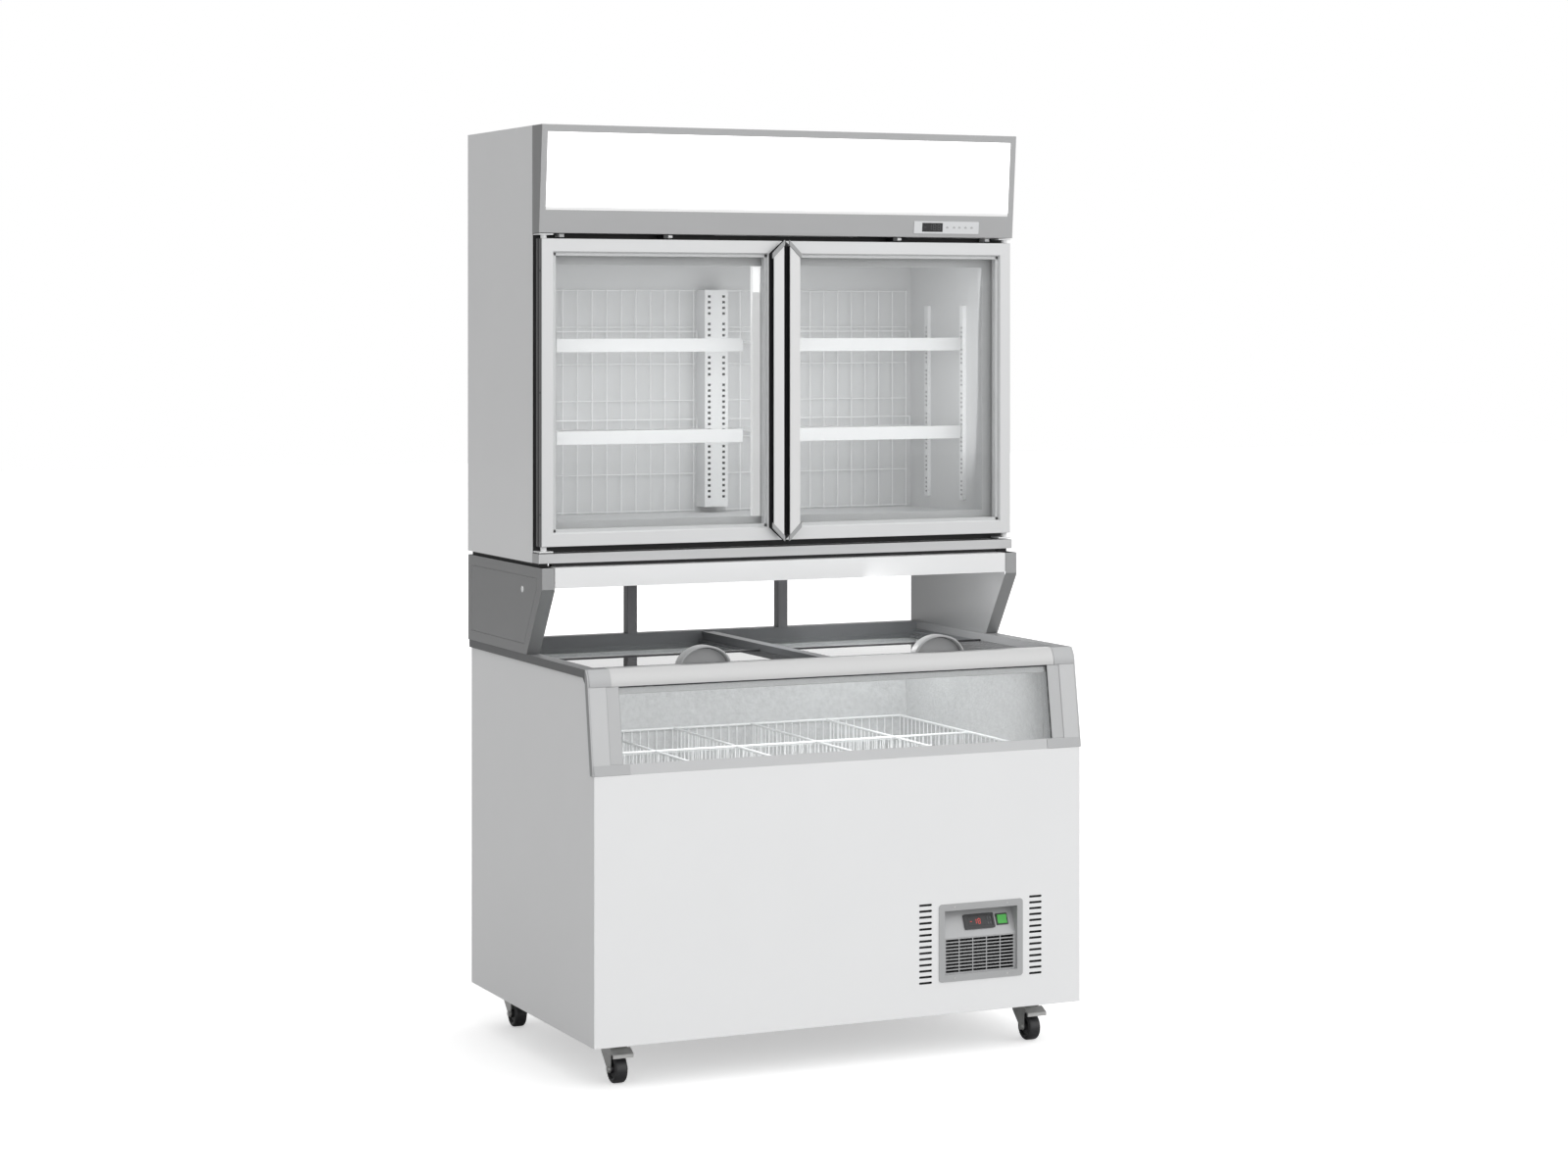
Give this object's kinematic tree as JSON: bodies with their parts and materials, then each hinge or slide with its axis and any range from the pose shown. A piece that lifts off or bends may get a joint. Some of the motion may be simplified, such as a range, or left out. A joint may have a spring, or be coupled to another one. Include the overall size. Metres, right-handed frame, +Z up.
{
  "type": "combination display freezer",
  "caption": "Chest freezer on casters with a slanted front window and sliding glass lids, carrying on two side brackets an upright cabinet with hinged glass doors and a lit header.",
  "frame": {"origin": "on the floor, under the middle of the overall footprint", "axes": "+Z up, -Y towards the customer (front), +X to the customer's right as they face the front"},
  "size_m": [1.26, 0.844, 2.192],
  "materials": {
    "white_steel": "smooth semi-gloss white powder coat",
    "silver_paint": "metallic silver-grey paint",
    "anodised_trim": "satin anodised",
    "window_trim": "light grey paint",
    "liner_aluminium": "stucco-embossed sheet",
    "foam": "rigid cellular foam, hidden",
    "grey_plastic": "moulded, satin",
    "lid_edge": "dark extrusion, satin",
    "clear_glass": "polished",
    "black_rubber": "matte",
    "white_wire": "white plastic-coated wire",
    "basket_coating": "white plastic coating over wire",
    "label_strip": "glossy white",
    "light_diffuser": "opal, lit from behind",
    "display_grey": "smooth film",
    "black_plastic": "moulded, satin",
    "green_key": "glossy translucent",
    "zinc_steel": "zinc-plated, dull",
    "wheel_rubber": "hard dark rubber",
    "compressor_black": "black enamel",
    "condenser_fins": "thin fins and sheet",
    "fan_plastic": "moulded"
  },
  "bodies": {
    "cabinet": {"chest_outer_shell": "white_steel", "upper_outer_shell": "white_steel", "light_beam": "white_steel", "upper_liner": "white_steel", "grille_panel": "white_steel", "header_housing": "silver_paint", "edge_trims": "silver_paint", "support_brackets": "silver_paint", "sill_rail": "silver_paint", "front_rail": "anodised_trim", "rear_posts": "anodised_trim", "window_frame": "window_trim", "chest_liner": "liner_aluminium", "insulation_foam": "foam", "lid_rim": "grey_plastic", "window_glass": "clear_glass", "spacer_strips": "black_rubber", "wire_guards": "white_wire", "wire_shelves": "white_wire", "shelf_standards": "white_wire", "hinge_brackets": "white_wire", "wire_baskets": "basket_coating", "price_strips": "label_strip", "light_panels": "light_diffuser", "display_panel": "display_grey", "thermostat": "black_plastic", "switch_housing": "black_plastic", "power_gland": "black_plastic", "caster_plates": "zinc_steel", "panel_screws": "zinc_steel", "compressors": "compressor_black", "condensers": "condenser_fins"},
    "door_left": {"door_frame_left": "anodised_trim", "door_glass_left": "clear_glass", "door_gasket_left": "black_rubber", "door_handle_left": "anodised_trim"},
    "front_lid_left": {"front_lid_glass_left": "clear_glass", "front_lid_edge_left": "lid_edge", "lid_handle_left": "grey_plastic"},
    "rear_lid_left": {"rear_lid_glass_left": "clear_glass"},
    "door_right": {"door_frame_right": "anodised_trim", "door_glass_right": "clear_glass", "door_gasket_right": "black_rubber", "door_handle_right": "anodised_trim"},
    "front_lid_right": {"front_lid_glass_right": "clear_glass", "front_lid_edge_right": "lid_edge", "lid_handle_right": "grey_plastic"},
    "rear_lid_right": {"rear_lid_glass_right": "clear_glass"},
    "fork_front_left": {"caster_fork_front_left": "zinc_steel"},
    "wheel_front_left": {"caster_wheel_front_left": "wheel_rubber"},
    "pedal_front_left": {"brake_pedal_front_left": "zinc_steel"},
    "fork_front_right": {"caster_fork_front_right": "zinc_steel"},
    "wheel_front_right": {"caster_wheel_front_right": "wheel_rubber"},
    "pedal_front_right": {"brake_pedal_front_right": "zinc_steel"},
    "fork_rear_left": {"caster_fork_rear_left": "zinc_steel"},
    "wheel_rear_left": {"caster_wheel_rear_left": "wheel_rubber"},
    "fork_rear_right": {"caster_fork_rear_right": "zinc_steel"},
    "wheel_rear_right": {"caster_wheel_rear_right": "wheel_rubber"},
    "rocker": {"rocker_key": "green_key"},
    "fan": {"fan_blades": "fan_plastic"}
  },
  "joints": [
    {"name": "door_left_hinge", "type": "hinge", "parent": "cabinet", "child": "door_left", "pos_m": [-0.6125, -0.065, 1.565], "axis": [0, 0, -1], "range_deg": [0, 105]},
    {"name": "front_lid_left_slide", "type": "slide", "parent": "cabinet", "child": "front_lid_left", "axis": [0, 1, 0], "range_m": [0, 0.346]},
    {"name": "rear_lid_left_slide", "type": "slide", "parent": "cabinet", "child": "rear_lid_left", "axis": [0, -1, 0], "range_m": [0, 0.346]},
    {"name": "door_right_hinge", "type": "hinge", "parent": "cabinet", "child": "door_right", "pos_m": [0.6125, -0.065, 1.565], "axis": [0, 0, 1], "range_deg": [0, 105]},
    {"name": "front_lid_right_slide", "type": "slide", "parent": "cabinet", "child": "front_lid_right", "axis": [0, 1, 0], "range_m": [0, 0.346]},
    {"name": "rear_lid_right_slide", "type": "slide", "parent": "cabinet", "child": "rear_lid_right", "axis": [0, -1, 0], "range_m": [0, 0.346]},
    {"name": "swivel_front_left", "type": "hinge", "parent": "cabinet", "child": "fork_front_left", "pos_m": [-0.535, -0.305, 0.0935], "axis": [0, 0, 1], "continuous": true},
    {"name": "roll_front_left", "type": "hinge", "parent": "fork_front_left", "child": "wheel_front_left", "pos_m": [-0.535, -0.333, 0.0325], "axis": [1, 0, 0], "continuous": true},
    {"name": "brake_front_left", "type": "hinge", "parent": "fork_front_left", "child": "pedal_front_left", "pos_m": [-0.535, -0.319, 0.083], "axis": [1, 0, 0], "range_deg": [0, 12]},
    {"name": "swivel_front_right", "type": "hinge", "parent": "cabinet", "child": "fork_front_right", "pos_m": [0.535, -0.305, 0.0935], "axis": [0, 0, 1], "continuous": true},
    {"name": "roll_front_right", "type": "hinge", "parent": "fork_front_right", "child": "wheel_front_right", "pos_m": [0.535, -0.333, 0.0325], "axis": [1, 0, 0], "continuous": true},
    {"name": "brake_front_right", "type": "hinge", "parent": "fork_front_right", "child": "pedal_front_right", "pos_m": [0.535, -0.319, 0.083], "axis": [1, 0, 0], "range_deg": [0, 12]},
    {"name": "swivel_rear_left", "type": "hinge", "parent": "cabinet", "child": "fork_rear_left", "pos_m": [-0.535, 0.352, 0.0935], "axis": [0, 0, 1], "continuous": true},
    {"name": "roll_rear_left", "type": "hinge", "parent": "fork_rear_left", "child": "wheel_rear_left", "pos_m": [-0.535, 0.324, 0.0325], "axis": [1, 0, 0], "continuous": true},
    {"name": "swivel_rear_right", "type": "hinge", "parent": "cabinet", "child": "fork_rear_right", "pos_m": [0.535, 0.352, 0.0935], "axis": [0, 0, 1], "continuous": true},
    {"name": "roll_rear_right", "type": "hinge", "parent": "fork_rear_right", "child": "wheel_rear_right", "pos_m": [0.535, 0.324, 0.0325], "axis": [1, 0, 0], "continuous": true},
    {"name": "rocker_tilt", "type": "hinge", "parent": "cabinet", "child": "rocker", "pos_m": [0.4226, -0.39959, 0.30991], "axis": [-1, 0, 0], "range_deg": [0, 14]},
    {"name": "fan_spin", "type": "hinge", "parent": "cabinet", "child": "fan", "pos_m": [0.3566, -0.28, 0.24], "axis": [0, 1, 0], "continuous": true}
  ]
}
